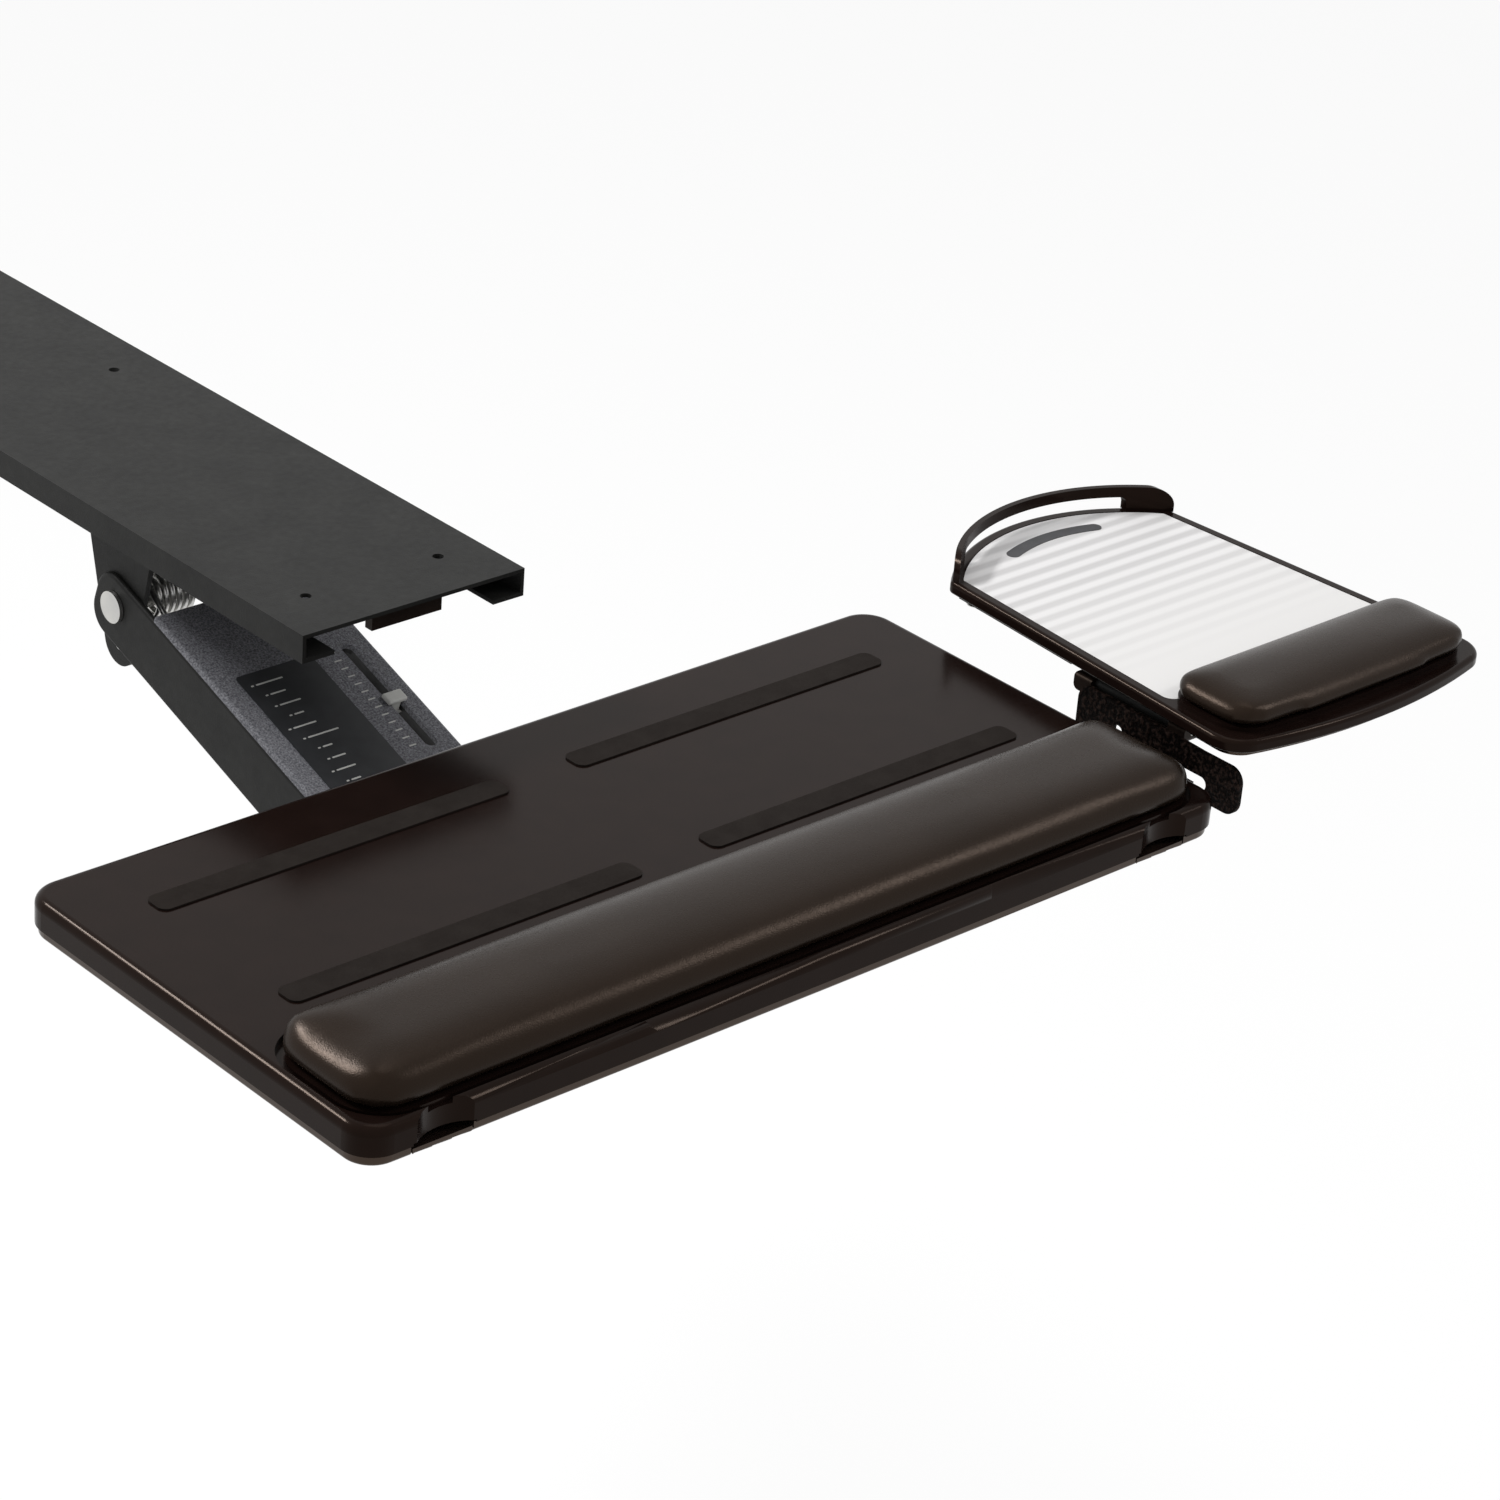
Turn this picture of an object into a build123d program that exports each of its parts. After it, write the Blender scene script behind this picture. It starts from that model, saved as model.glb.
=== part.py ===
from build123d import *
from math import cos, pi, radians, sin
import os

os.makedirs("parts", exist_ok=True)

# Frame: millimetres, X to the right, Y away from the user, Z up.
# The origin is the centre of the track's screw pattern, on the face that meets the desk.

# Fits and fasteners shared by the whole assembly
running_gap = 0.05
slip_gap = 0.3
open_pivot_gap = 0.25
overrun = 2.0
screw_radius = 2.0
screw_head_radius = 4.0
screw_head_height = 1.8

# Track
track_length = 584.0
track_width = 127.0
track_height = 14.0
track_wall = 2.0
track_lip = 18.0
track_screw_radius = 2.7
track_screw_spacing = 76.0
track_screw_margin = 32.0
stop_thickness = 5.0
stop_width = 40.0
stop_setback = 6.0

# Carriage and swivel
swivel_ahead = 106.0
carriage_length = 110.0
carriage_thickness = 3.0
glide_length = 26.0
glide_width = 15.0
plate_in_glide = 10.0
plate_rise_share = 0.25
bearing_radius = 33.0
post_radius = 8.0
post_head_radius = 13.0
post_head_height = 1.8
yoke_drop = 3.0
yoke_thickness = 3.0
yoke_length = 92.0
yoke_corner = 12.0
swivel_nut_radius = 14.0
swivel_nut_height = 5.0

# Arm linkage
rear_pivot_ahead = 14.2
rear_pivot_drop = 40.0
arm_length = 215.0
arm_slope = 18.6
link_offset = 20.0
link_thickness = 3.0
link_radius = 7.0
link_crossbar_shares = (1 / 3, 2 / 3)
arm_width = 90.0
arm_wall = 2.5
arm_rise = 15.0
arm_skirt = 20.0
arm_overhang = 16.0
arm_corner = 13.0
web_setback = 34.0
web_bend = 2.0
ear_side_gap = 0.6
ear_thickness = 3.0
ear_radius = 12.0
ear_root = 24.0
ear_root_corner = 4.0
arm_pin_radius = 5.0
link_pin_radius = 4.0
pin_head_radius = 8.0
pin_head_height = 2.0
spring_wire = 3.0
spring_turns = 5
spring_pitch = 3.8
spring_inset = 7.0
spring_leg = 46.0
lift_down = 18.0

# Arm cover, label and height gauge
cover_thickness = 3.0
cover_margin = 28.0
cover_edge = 2.0
label_thickness = 0.4
label_width = 44.0
label_length = 84.0
label_left_margin = 12.0
label_front = 52.0
slot_width = 7.0
slot_front = 62.0
slot_length = 74.0
slot_right_margin = 10.0
pointer_place = 95.2
pointer_width = 11.0
pointer_length = 7.0
pointer_height = 2.5
pointer_stem = 5.0
pointer_foot_width = 16.0
pointer_foot_height = 2.0
pointer_edge = 1.0

# Head and tilt pivot
tilt_ahead = 28.0
tilt_rise = 26.6
head_wall = 3.0
tilt_pin_radius = 4.0
tilt_spacer_radius = 7.0

# Keyboard tray
tray_width = 495.0
tray_depth = 240.5
tray_centre_x = 18.7
tray_rear_reach = 36.0
deck_rise = 38.0
tray_front_bow = 1.0
tray_front_radius = 15.0
tray_rear_radius = 16.0
deck_thickness = 5.5
shell_height = 13.4
shell_wall = 3.0
bullnose = 4.5
seam = 0.6
pan_height = 4.6
pan_floor = 2.0
pan_inset = 1.5
pan_edge = 1.5
rest_recess = 3.0
rest_recess_margin = 0.5
rest_recess_depth = 83.0
boss_radius = 5.0
boss_margin_x = 70.0
boss_margin_front = 22.0
boss_margin_rear = 30.0
pan_screw_length = 6.7
fascia_panel_width = 13.0
fascia_panel_height = 8.0
fascia_panel_depth = 0.4
fascia_panel_inset = 77.0

# Front finger levers and release rods
lever_inset = 40.4
lever_width = 30.0
lever_slit = 0.8
lever_reach = 30.0
lever_thickness = 2.9
lever_edge = 1.0
lever_pin_back = 24.0
lever_pin_drop = 15.0
lever_pin_radius = 1.5
lever_knuckle_radius = 3.2
lever_crank_rise = 7.6
lever_crank_thickness = 3.0
lever_crank_width = 8.0
lever_lug_width = 5.0
lever_lug_radius = 3.0
scoop_depth = 5.3
scoop_half_width = 15.3
lever_swing = 1.2
scoop_wall = 2.5
rod_radius = 1.25
rod_drop = 8.0
rod_straight = 92.0
rod_bend = 12.0
guide_thickness = 6.0
guide_width = 9.0
guide_depth = 5.5
shoe_length = 10.0
shoe_flange = 3.0
shoe_flange_height = 2.0
shoe_travel = 2.0

# Tray bracket
bracket_width = 150.0
bracket_front = 64.0
bracket_rear = 26.0
bracket_thickness = 2.5
bracket_corner = 10.0
bracket_ear_radius = 9.0
bracket_ear_root = 13.0
bracket_screw_margin = 9.0

# Deck grip strips
grip_width = 14.0
grip_height = 0.8
grip_corner = 4.5
grip_side_inset = 37.5
grip_middle_gap = 20.0
grip_front_y = 104.0
grip_rear_y = 196.0

# Keyboard palm rest
rest_side_inset = 5.3
rest_depth = 76.0
rest_height = 21.0
rest_crown = 1.5
rest_corner = 25.0
rest_shoulder = 20.0
rest_shoulder_height = 16.5
rest_hem = 2.5
rest_hem_height = 2.0
ellipse_share = 0.5523
rest_front_inset = 5.0
rest_base_height = 2.5
rest_base_inset = 2.0

# Mouse bracket
bracket_gap = 10.5
side_plate_thickness = 2.5
side_plate_length = 104.3
side_plate_front_inset = 2.5
side_plate_bottom = 15.8
side_plate_top = 8.4
side_plate_rise = 3.0
side_plate_rise_place = 25.0
side_plate_corner = 7.5
side_plate_hole_radius = 3.0
side_plate_hole_back = 77.5
side_plate_hole_drop = 3.4
side_plate_slot_front = 20.0
side_plate_slot_length = 24.0
side_plate_slot_drop = 7.6
side_plate_slot_radius = 3.6
tongue_length = 112.0
tongue_width = 56.0
tongue_front = 32.0
tongue_drop = 9.9
tongue_thickness = 2.5
tongue_corner = 6.0
tongue_rib = 6.0
knob_radius = 14.0
knob_height = 11.0
knob_grips = 12
knob_grip_radius = 2.2
knob_stem_radius = 3.0
knob_inset = 46.0

# Mouse platform hinge and swivel
hinge_block_width = 12.0
hinge_block_length = 72.0
hinge_block_front = 41.0
hinge_block_rise = 5.0
hinge_block_corner = 3.0
hinge_floor = 1.8
hinge_lug = 11.0
hinge_lug_round = 2.0
hinge_rise = 10.3
hinge_pin_radius = 1.8
knuckle_radius = 3.2
tilt_plate_thickness = 3.0
swivel_reach = 48.0
swivel_post_radius = 6.0
swivel_washer_radius = 15.0
swivel_washer_height = 1.5
swivel_foot_radius = 10.0

# Mouse platform
platform_centre_reach = 26.8
platform_front_overhang = 8.5
platform_rise = 24.0
platform_front_half = 90.5
platform_rear_half = 77.0
platform_depth = 243.0
platform_front_corner = 13.0
platform_rear_bow = 31.5
platform_front_radius = 17.0
platform_rear_radius = 5.0
platform_edge = 6.5
platform_skin = 3.0
platform_wall = 3.0
platform_boss_margin = 9.0
platform_screw_length = 5.2
platform_round = 2.4
platform_round_low = 1.2
platform_seam = 0.4
base_height = 3.0
base_inset = 5.0
notch_gap = 5.5
notch_reach = 27.0
mat_inset = 6.0
mat_recess = 1.0
mat_thickness = 0.7
mat_front = 59.5
mat_corner = 6.0
badge_thickness = 0.3
badge_width = 7.0
badge_inset = 12.2
badge_half_angle = 19.0
fence_height = 12.6
fence_band = 5.6
fence_thickness = 3.0
fence_inset = 1.0
fence_leg = 19.0
fence_corner = 9.0
fence_window_corner = 3.0
pad_depth = 57.7
pad_height = 15.5
pad_half = 83.5
pad_front_inset = 9.3
pad_bow = 5.0
pad_bow_cut = 0.6
pad_corner = 19.0
pad_crown = 1.5
pad_shoulder = 18.0
pad_shoulder_height = 11.5
pad_base_height = 2.0
pad_base_inset = 2.0


def block(x_range, y_range, z_range):
    """A box between two places on each axis."""
    size = [high - low for low, high in (x_range, y_range, z_range)]
    middle = [(low + high) / 2 for low, high in (x_range, y_range, z_range)]
    return Pos(*middle) * Box(*size)


def bar_x(x_range, y, z, radius):
    """A round bar along X."""
    low, high = x_range
    return Pos((low + high) / 2, y, z) * Rot(0, 90, 0) * Cylinder(radius, high - low)


def bar_y(x, y_range, z, radius):
    """A round bar along Y."""
    low, high = y_range
    return Pos(x, (low + high) / 2, z) * Rot(90, 0, 0) * Cylinder(radius, high - low)


def bar_z(x, y, z_range, radius):
    """A round bar along Z."""
    low, high = z_range
    return Pos(x, y, (low + high) / 2) * Cylinder(radius, high - low)


def slab(outline, z_range):
    """A flat outline in X and Y given thickness between two heights."""
    low, high = z_range
    return Pos(0, 0, low) * extrude(outline, amount=high - low)


def rounded(x_range, y_range, radius):
    """A rectangle in X and Y with round corners."""
    width = x_range[1] - x_range[0]
    depth = y_range[1] - y_range[0]
    return Pos(sum(x_range) / 2, sum(y_range) / 2) * RectangleRounded(width, depth, radius)


def side_hull(x_range, circles):
    """A plate between two places in X, whose side view is the hull of (y, z, radius) circles."""
    low, high = x_range
    edges = [edge for y, z, r in circles for edge in (Pos(y, z) * Circle(r)).edges()]
    return extrude(Plane.YZ.offset(low) * make_hull(edges), amount=high - low)


def side_plate_shape(x_range, points, radius):
    """A plate between two places in X, whose side view is a rounded polygon of (y, z) points."""
    low, high = x_range
    outline = make_face(Polyline(*points, close=True))
    outline = fillet(outline.vertices(), radius)
    return extrude(Plane.YZ.offset(low) * outline, amount=high - low)


def both_sides(piece):
    """The piece and its mirror image across the arm's middle plane."""
    return [piece, mirror(piece, Plane.YZ)]


def screw(x, y, z_head, length, up=True):
    """A pan-head screw whose head sits under, or on, a face at z_head."""
    way = 1 if up else -1
    head = sorted((z_head, z_head - way * screw_head_height))
    shank = sorted((z_head, z_head + way * length))
    body = bar_z(x, y, head, screw_head_radius) + bar_z(x, y, shank, screw_radius)
    edges = body.faces().sort_by(Axis.Z)[0 if up else -1].edges()
    return fillet(edges, screw_head_height / 2)


def save(name, *pieces):
    """Writes one node as a STEP file, with each piece a separate solid."""
    solids = [solid for piece in pieces for solid in piece.solids()]
    node = Compound(children=solids)
    node.label = name
    export_step(node, f"parts/{name}.step")


# Places that follow from the sizes above
swivel_y = -swivel_ahead
yoke_top = -track_height - yoke_drop
yoke_bottom = yoke_top - yoke_thickness
rear_pivot_y = swivel_y - rear_pivot_ahead
rear_pivot_z = yoke_bottom - rear_pivot_drop
front_pivot_y = rear_pivot_y - arm_length * cos(radians(arm_slope))
front_pivot_z = rear_pivot_z - arm_length * sin(radians(arm_slope))
tilt_y = front_pivot_y - tilt_ahead
tilt_z = front_pivot_z + tilt_rise
deck_z = tilt_z + deck_rise
tray_rear = tilt_y + tray_rear_reach
tray_front = tray_rear - tray_depth
tray_left = tray_centre_x - tray_width / 2
tray_right = tray_centre_x + tray_width / 2
rest_length = tray_width - 2 * rest_side_inset
shell_bottom = deck_z - shell_height
pan_top = shell_bottom - seam
pan_bottom = pan_top - pan_height
pan_floor_z = pan_bottom + pan_floor
cavity_top = deck_z - deck_thickness
wall_inner = arm_width / 2 - arm_wall
ear_outer = wall_inner - ear_side_gap
ear_inner = ear_outer - ear_thickness


def track():
    """The C-shaped steel rail that screws to the desk, with two inward lips."""
    half = track_width / 2
    y_range = (-track_length / 2, track_length / 2)
    channel = block((-half, half), y_range, (-track_height, 0))
    inner = half - track_wall
    hollow_z = (track_wall - track_height, -track_wall)
    y_cut = (-track_length, track_length)
    channel -= block((-inner, inner), y_cut, hollow_z)
    mouth = half - track_lip
    channel -= block((-mouth, mouth), y_cut, (-track_height - overrun, -track_wall))
    places = [
        (x * track_screw_spacing / 2, y * (track_length / 2 - track_screw_margin))
        for x in (-1, 1)
        for y in (-1, 0, 1)
    ]
    for x, y in places:
        channel -= bar_z(x, y, (-track_wall - overrun, overrun), track_screw_radius)
    save("track_channel", channel)
    stops = []
    for way in (-1, 1):
        far = way * (track_length / 2 - stop_setback)
        near = far - way * stop_thickness
        half_stop = stop_width / 2
        y_stop = sorted((near, far))
        stops.append(
            block((-half_stop, half_stop), y_stop, (track_wall - track_height, -track_wall))
        )
    save("track_stops", *stops)


def carriage():
    """The plate that slides in the track on four nylon glides, and the swivel post."""
    top = -track_wall - slip_gap
    bottom = track_wall - track_height + slip_gap
    plate_mid = (top + bottom) / 2 + plate_rise_share * carriage_thickness
    plate_z = (plate_mid - carriage_thickness / 2, plate_mid + carriage_thickness / 2)
    y_range = (swivel_y - carriage_length / 2, swivel_y + carriage_length / 2)
    glide_outer = track_width / 2 - track_wall - slip_gap
    glide_inner = glide_outer - glide_width
    plate_half = glide_inner + plate_in_glide
    plate = block((-plate_half, plate_half), y_range, plate_z)
    plate -= bar_z(0, swivel_y, (bottom, top), post_radius)
    save("carriage_plate", plate)
    glides = []
    for side in (-1, 1):
        for way in (-1, 1):
            end = swivel_y + way * carriage_length / 2
            y_glide = sorted((end, end - way * glide_length))
            x_glide = sorted((side * glide_inner, side * glide_outer))
            glide = block(x_glide, y_glide, (bottom, top))
            glide = chamfer(glide.edges().filter_by(Axis.Y), slip_gap)
            glides.append(glide - block((-plate_half, plate_half), y_range, plate_z))
    save("track_glides", *glides)
    washer_z = (yoke_top + slip_gap, plate_z[0])
    washer = bar_z(0, swivel_y, washer_z, bearing_radius)
    washer -= bar_z(0, swivel_y, (yoke_bottom, top), post_radius)
    save("swivel_bearing", washer)
    nut_top = yoke_bottom - slip_gap
    nut_z = (nut_top - swivel_nut_height, nut_top)
    post = bar_z(0, swivel_y, (nut_z[0], plate_z[1] + post_head_height), post_radius)
    post += bar_z(0, swivel_y, (plate_z[1], plate_z[1] + post_head_height), post_head_radius)
    save("swivel_post", post)
    nut = slab(Pos(0, swivel_y) * RegularPolygon(swivel_nut_radius, 6), nut_z)
    nut -= bar_z(0, swivel_y, (nut_z[0] - overrun, nut_z[1] + overrun), post_radius)
    save("swivel_nut", nut)


def ear_pair(circles):
    """Two plates just inside the arm's walls."""
    return both_sides(side_hull((ear_inner, ear_outer), circles))


def pivot_pin(y, z, radius, half_length, head_radius=0.0):
    """A pin along X, with flat heads outside the arm's walls where a head is given."""
    pin = bar_x((-half_length, half_length), y, z, radius)
    if head_radius:
        for side in (-1, 1):
            x_head = sorted((side * half_length, side * (half_length + pin_head_height)))
            pin += bar_x(x_head, y, z, head_radius)
    return pin


def base_yoke():
    """The bracket that turns under the track and carries the rear end of the arm."""
    y_range = (swivel_y - yoke_length / 2 - ear_radius, swivel_y + yoke_length / 2 - ear_radius)
    plate = slab(rounded((-ear_outer, ear_outer), y_range, yoke_corner), (yoke_bottom, yoke_top))
    root_z = yoke_bottom + ear_root_corner
    circles = [
        (rear_pivot_y - ear_root, root_z, ear_root_corner),
        (rear_pivot_y + ear_root, root_z, ear_root_corner),
        (rear_pivot_y, rear_pivot_z, ear_radius),
        (rear_pivot_y, rear_pivot_z - link_offset, ear_radius),
    ]
    yoke = plate
    above = (yoke_top, yoke_top + 2 * ear_root_corner)
    for ear in ear_pair(circles):
        trimmed = ear - block((-track_width, track_width), y_range, above)
        yoke += trimmed
    yoke -= bar_z(0, swivel_y, (yoke_bottom - overrun, yoke_top + overrun), post_radius + running_gap)
    span = (-ear_outer - overrun, ear_outer + overrun)
    yoke -= bar_x(span, rear_pivot_y, rear_pivot_z, arm_pin_radius)
    yoke -= bar_x(span, rear_pivot_y, rear_pivot_z - link_offset, link_pin_radius)
    save("base_yoke", yoke)
    head_side = arm_width / 2 + slip_gap
    save(
        "rear_arm_pin",
        pivot_pin(rear_pivot_y, rear_pivot_z, arm_pin_radius, head_side, pin_head_radius),
    )
    save(
        "rear_link_pin",
        pivot_pin(rear_pivot_y, rear_pivot_z - link_offset, link_pin_radius, ear_outer),
    )


def torsion_spring():
    """A lift spring: a leg up to the yoke, turns round the pin, a leg under the lowered arm."""
    wire = spring_wire / 2
    mean = arm_rise - arm_wall - slip_gap - wire
    slope = arm_slope + lift_down
    turns = spring_turns + (270 + slope) / 360
    height = turns * spring_pitch
    path = Helix(spring_pitch, height, mean)
    coil = sweep(Plane(origin=path @ 0, z_dir=path % 0) * Circle(wire), path=path, is_frenet=True)
    start = (spring_inset, rear_pivot_y, rear_pivot_z)
    spring = Plane(origin=start, x_dir=(0, -1, 0), z_dir=(1, 0, 0)) * coil
    front_y = rear_pivot_y - mean
    spring += bar_z(spring_inset, front_y, (rear_pivot_z, yoke_bottom - slip_gap), wire)
    spring += Pos(spring_inset, front_y, rear_pivot_z) * Sphere(wire)
    top_y = rear_pivot_y - mean * sin(radians(slope))
    top_z = rear_pivot_z + mean * cos(radians(slope))
    tangent = Pos(spring_inset + height, top_y, top_z) * Rot(slope, 0, 0)
    spring += tangent * Pos(0, -spring_leg / 2, 0) * Rot(90, 0, 0) * Cylinder(wire, spring_leg)
    spring += tangent * Sphere(wire)
    return spring


arm_frame = Pos(0, front_pivot_y, front_pivot_z) * Rot(arm_slope, 0, 0)
slot_x = arm_width / 2 - slot_right_margin - slot_width / 2
slot_y = slot_front + slot_length / 2


def pointer_slot(z_range):
    """The round-ended slot that the gauge pointer runs in, in the arm's own frame."""
    outline = Pos(slot_x, slot_y) * Rot(0, 0, 90) * SlotOverall(slot_length, slot_width)
    return slab(outline, z_range)


def arm():
    """The steel channel between the two pivots, with its cover, label and pointer."""
    half = arm_width / 2
    low, high = -arm_overhang, arm_length + arm_overhang
    corners = [(low, -arm_skirt), (high, -arm_skirt), (high, arm_rise), (low, arm_rise)]
    channel = side_plate_shape((wall_inner, half), corners, arm_corner)
    channel += mirror(channel, Plane.YZ)
    web_y = (web_setback, arm_length - web_setback)
    channel += block((-half, half), web_y, (arm_rise - arm_wall, arm_rise))
    web_top = channel.faces().sort_by(Axis.Z)[-1]
    bends = [e for e in web_top.edges().filter_by(Axis.Y) if abs(e.center().X) > wall_inner]
    channel = fillet(bends, web_bend)
    for y in (0, arm_length):
        channel -= bar_x((-half - overrun, half + overrun), y, 0, arm_pin_radius + running_gap)
    channel -= pointer_slot((0, arm_rise + overrun))
    save("arm_channel", arm_frame * channel)
    cover_y = (cover_margin, arm_length - cover_margin)
    cover_top = arm_rise + cover_thickness
    cover = slab(rounded((-half, half), cover_y, web_bend), (arm_rise, cover_top))
    cover = fillet(cover.faces().sort_by(Axis.Z)[-1].edges(), cover_edge)
    cover -= pointer_slot((0, cover_top + overrun))
    save("arm_cover", arm_frame * cover)
    label_x = (-half + label_left_margin, -half + label_left_margin + label_width)
    label_y = (label_front, label_front + label_length)
    label = slab(rounded(label_x, label_y, cover_edge), (cover_top, cover_top + label_thickness))
    save("cover_label", arm_frame * label)
    cap_z = (cover_top + slip_gap, cover_top + slip_gap + pointer_height)
    foot_top = arm_rise - arm_wall - slip_gap
    x_cap = (slot_x - pointer_width / 2, slot_x + pointer_width / 2)
    y_cap = (pointer_place - pointer_length / 2, pointer_place + pointer_length / 2)
    pointer = fillet(block(x_cap, y_cap, cap_z).edges(), pointer_edge)
    stem_x = (slot_x - pointer_stem / 2, slot_x + pointer_stem / 2)
    stem_y = (pointer_place - pointer_stem / 2, pointer_place + pointer_stem / 2)
    pointer += block(stem_x, stem_y, (foot_top - pointer_foot_height, cap_z[1] - pointer_edge))
    foot_x = (wall_inner - slip_gap - pointer_foot_width, wall_inner - slip_gap)
    pointer += block(foot_x, stem_y, (foot_top - pointer_foot_height, foot_top))
    save("gauge_pointer", arm_frame * pointer)


def lower_link():
    """The welded pair of bars under the arm that keeps the head level."""
    outer = ear_inner - slip_gap
    rear = (rear_pivot_y, rear_pivot_z - link_offset)
    front = (front_pivot_y, front_pivot_z - link_offset)
    circles = [(*rear, link_radius), (*front, link_radius)]
    bar = side_hull((outer - link_thickness, outer), circles)
    link = bar + mirror(bar, Plane.YZ)
    for share in link_crossbar_shares:
        y = front[0] + (rear[0] - front[0]) * share
        z = front[1] + (rear[1] - front[1]) * share
        link += bar_x((-outer + link_thickness, outer - link_thickness), y, z, link_pin_radius)
    span = (-outer - overrun, outer + overrun)
    link -= bar_x(span, *rear, link_pin_radius + running_gap)
    link -= bar_x(span, *front, link_pin_radius + open_pivot_gap)
    save("lower_link", link)


def head():
    """The bracket at the arm's front end that the tray tilts on."""
    link_z = front_pivot_z - link_offset
    circles = [
        (tilt_y, tilt_z, ear_radius),
        (front_pivot_y, front_pivot_z, ear_radius),
        (front_pivot_y, link_z, ear_radius),
    ]
    bracket = side_hull((ear_inner, ear_outer), circles)
    bracket += mirror(bracket, Plane.YZ)
    run = Vector(0, front_pivot_y - tilt_y, link_z - tilt_z)
    out = Vector(0, run.Z, -run.Y).normalized()
    middle = Vector(0, tilt_y, tilt_z) + run / 2 + out * (ear_radius - head_wall / 2)
    face = Plane(origin=middle, x_dir=(1, 0, 0), z_dir=out)
    bracket += face * Box(2 * ear_inner, run.length, head_wall)
    span = (-ear_outer - overrun, ear_outer + overrun)
    bracket -= bar_x(span, front_pivot_y, front_pivot_z, arm_pin_radius)
    bracket -= bar_x(span, front_pivot_y, link_z, link_pin_radius)
    bracket -= bar_x(span, tilt_y, tilt_z, tilt_pin_radius)
    save("head_bracket", bracket)
    head_side = arm_width / 2 + slip_gap
    pin = pivot_pin(front_pivot_y, front_pivot_z, arm_pin_radius, head_side, pin_head_radius)
    save("front_arm_pin", pin)
    save("front_link_pin", pivot_pin(front_pivot_y, link_z, link_pin_radius, ear_outer))
    pin = pivot_pin(tilt_y, tilt_z, tilt_pin_radius, head_side, tilt_spacer_radius)
    save("tilt_pin", pin)
    spacer = bar_x((-ear_inner, ear_inner), tilt_y, tilt_z, tilt_spacer_radius)
    spacer -= bar_x(span, tilt_y, tilt_z, tilt_pin_radius)
    save("tilt_spacer", spacer)


def bowed_outline(front_half, rear_half, side_front, side_rear, rear_bow, front_radius, rear_radius):
    """A flat outline symmetric in X, front edge bowed out to y = 0, round corners."""
    front_left, front_right = (-front_half, side_front), (front_half, side_front)
    rear_left, rear_right = (-rear_half, side_rear), (rear_half, side_rear)
    edges = [Line(front_left, rear_left), Line(rear_right, front_right)]
    edges.append(ThreePointArc(front_right, (0, 0), front_left))
    if rear_bow:
        edges.append(ThreePointArc(rear_left, (0, side_rear + rear_bow), rear_right))
    else:
        edges.append(Line(rear_left, rear_right))
    outline = make_face(edges)
    corners = outline.vertices().sort_by(Axis.Y)
    outline = fillet(corners[:2], front_radius)
    corners = outline.vertices().sort_by(Axis.Y)
    return fillet(corners[-2:], rear_radius)


def tray_outline(inset=0.0):
    """The tray's plan shape, drawn in by an inset."""
    half = tray_width / 2
    depth = tray_depth - tray_front_bow
    outline = bowed_outline(
        half, half, tray_front_bow, tray_front_bow + depth, 0, tray_front_radius, tray_rear_radius
    )
    outline = Pos(tray_centre_x, tray_front) * outline
    return offset(outline, amount=-inset) if inset else outline


def lever_x(side):
    """The middle of a finger lever in X, left (-1) or right (1)."""
    return tray_centre_x + side * (tray_width / 2 - lever_inset)


def around(middle, half):
    """A range either side of a middle."""
    return (middle - half, middle + half)


lever_pin_y = tray_front + lever_pin_back
lever_pin_z = deck_z - lever_pin_drop
rod_z = deck_z - rod_drop
rod_front_y = lever_pin_y + lever_crank_thickness / 2 + slip_gap
tongue_y = (tray_front + tongue_front, tray_front + tongue_front + tongue_width)
tongue_z = (deck_z - tongue_drop - tongue_thickness, deck_z - tongue_drop)
tongue_inner = tray_right - tongue_length
shoe_x = (ear_inner, ear_outer)
shoe_y = around(tilt_y, shoe_length / 2)


def boss_places():
    """The middles of the screw bosses that hold the shell and the pan together."""
    reach = tray_width / 2 - boss_margin_x
    front_row = [(tray_centre_x + k * reach, tray_front + boss_margin_front) for k in (-1, 0, 1)]
    rear_row = [(tray_centre_x + k * reach, tray_rear - boss_margin_rear) for k in (-1, 1)]
    return front_row + rear_row


def scoop(x, grow=0.0):
    """The upright finger scoop in the front rim, or its outer wall when grown."""
    radius = (scoop_half_width**2 + scoop_depth**2) / (2 * scoop_depth)
    return bar_z(x, tray_front + scoop_depth - radius, (pan_top, deck_z + overrun), radius + grow)


def tongue_ribs(x_range, z_range):
    """Two ribs along X, over or under the front and rear edges of the sliding tongue."""
    low, high = tongue_y
    front_rib = block(x_range, (low, low + tongue_rib), z_range)
    rear_rib = block(x_range, (high - tongue_rib, high), z_range)
    return front_rib + rear_rib


def rod_guide(side):
    """The rib under the deck that carries a release rod."""
    y = tongue_y[1] + guide_thickness
    x_range = around(lever_x(side), guide_width / 2)
    guide = block(x_range, (y, y + guide_thickness), (cavity_top - guide_depth, cavity_top))
    cut = bar_y(lever_x(side), (y - overrun, y + guide_thickness + overrun), rod_z,
                rod_radius + running_gap)
    return guide - cut


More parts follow.
